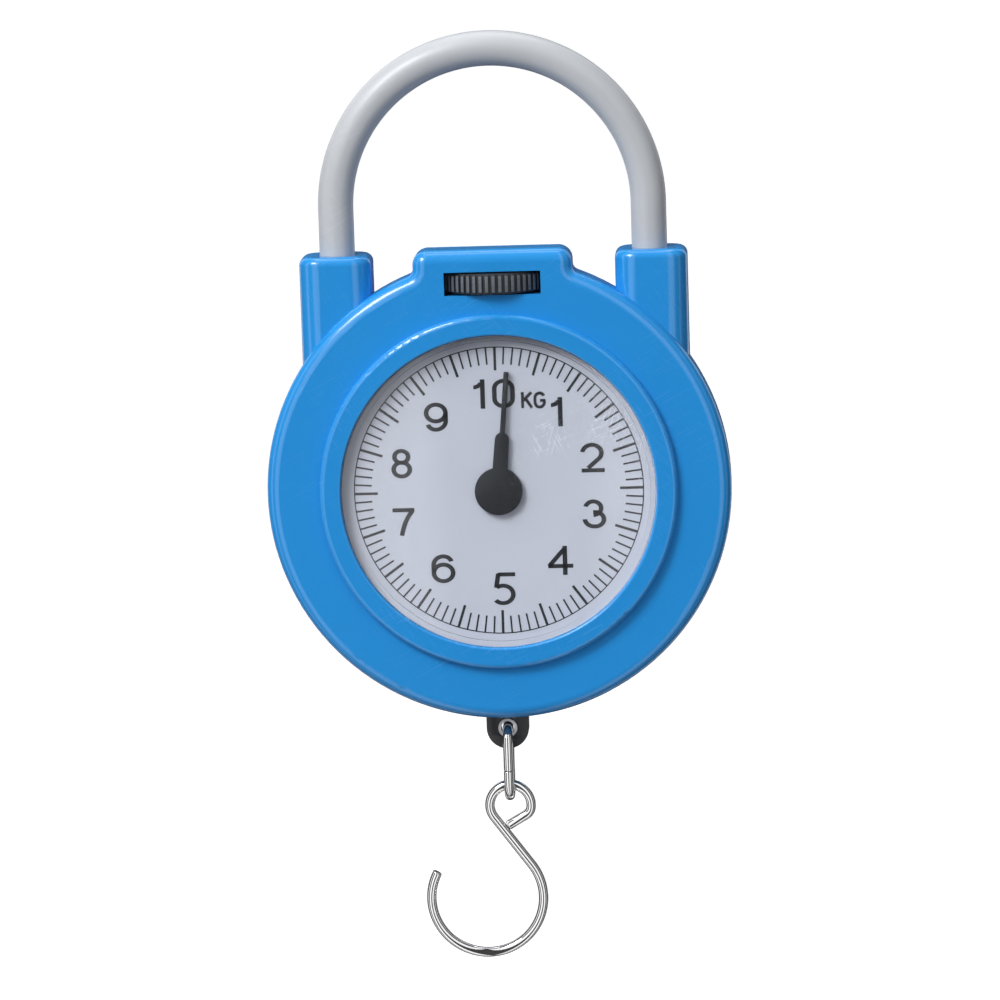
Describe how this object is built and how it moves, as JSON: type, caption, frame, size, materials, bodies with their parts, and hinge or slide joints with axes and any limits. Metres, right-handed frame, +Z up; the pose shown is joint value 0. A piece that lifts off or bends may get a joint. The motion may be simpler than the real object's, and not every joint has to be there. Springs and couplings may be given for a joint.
{
  "type": "hanging spring scale",
  "caption": "Round hanging dial scale with an arched carrying handle, a thumb wheel for setting zero, and a wire S-hook on a link below.",
  "frame": {"origin": "on the pointer's axis, at the flat back face of the case", "axes": "+Z up, towards the handle; the dial faces -Y; +X to the right as seen from the front"},
  "size_m": [0.092, 0.0243, 0.1868],
  "materials": {
    "blue_shell": "blue moulded ABS, glossy, fine handling scratches",
    "handle_grey": "grey moulded plastic, semi-gloss, faint scuffs",
    "clear_lens": "clear moulded styrene, polished",
    "dial_white": "white lacquered disc, printed in black",
    "plated_steel": "bright zinc-plated pressed steel",
    "screw_steel": "zinc-plated screws",
    "brass": "turned brass",
    "pointer_black": "black moulded plastic, matt",
    "shaft_steel": "ground steel",
    "bar_black": "black moulded plastic, satin",
    "eyelet_metal": "plain rolled metal",
    "spring_steel": "oiled spring wire",
    "wheel_black": "black moulded plastic, ridges greyed by use",
    "wire_chrome": "bright chromed wire"
  },
  "bodies": {
    "case": {"front_shell": "blue_shell", "back_shell": "blue_shell", "case_screws": "screw_steel", "handle": "handle_grey", "handle_screws": "screw_steel", "lens": "clear_lens", "dial_plate": "dial_white", "movement_plate": "plated_steel", "movement_screws": "screw_steel", "front_bush": "brass", "rear_bush": "brass", "wheel_washer": "plated_steel", "spring_left": "spring_steel", "spring_right": "spring_steel"},
    "load_bar": {"load_bar": "bar_black", "tab_eyelet": "eyelet_metal"},
    "pointer": {"pointer": "pointer_black", "pointer_shaft": "shaft_steel", "pinion": "brass"},
    "zero_wheel": {"zero_wheel": "wheel_black"},
    "yoke": {"spring_yoke": "plated_steel", "zero_screw": "screw_steel"},
    "link": {"link": "wire_chrome"},
    "hook": {"s_hook": "wire_chrome"}
  },
  "joints": [
    {"name": "load_slide", "type": "slide", "parent": "case", "child": "load_bar", "axis": [0, 0, -1], "range_m": [-0.00035, 0.02321], "stiffness_N_per_m": 4166, "springref_m": -0.00001, "deforming": ["spring_left", "spring_right"]},
    {"name": "pointer_turn", "type": "hinge", "parent": "case", "child": "pointer", "pos_m": [0, 0, 0], "axis": [0, 1, 0], "range_deg": [-5.3, 354.7]},
    {"name": "zero_wheel_turn", "type": "hinge", "parent": "case", "child": "zero_wheel", "pos_m": [0, -0.0135, 0.0413], "axis": [0, 0, 1], "range_deg": [-360.1, 360.1]},
    {"name": "yoke_slide", "type": "slide", "parent": "case", "child": "yoke", "axis": [0, 0, 1], "range_m": [-0.0007, 0.0007]},
    {"name": "link_swing", "type": "hinge", "parent": "load_bar", "child": "link", "pos_m": [0, -0.0135, -0.05212], "axis": [1, 0, 0], "range_deg": [-55, 55]},
    {"name": "hook_swing", "type": "hinge", "parent": "link", "child": "hook", "pos_m": [0, -0.0135, -0.0651], "axis": [0, 1, 0], "range_deg": [-60, 60]}
  ],
  "couplings": [
    {"joint": "pointer_turn", "follows": "load_slide", "rad_per_m": 266.67},
    {"joint": "zero_wheel_turn", "follows": "yoke_slide", "rad_per_m": -8976}
  ]
}
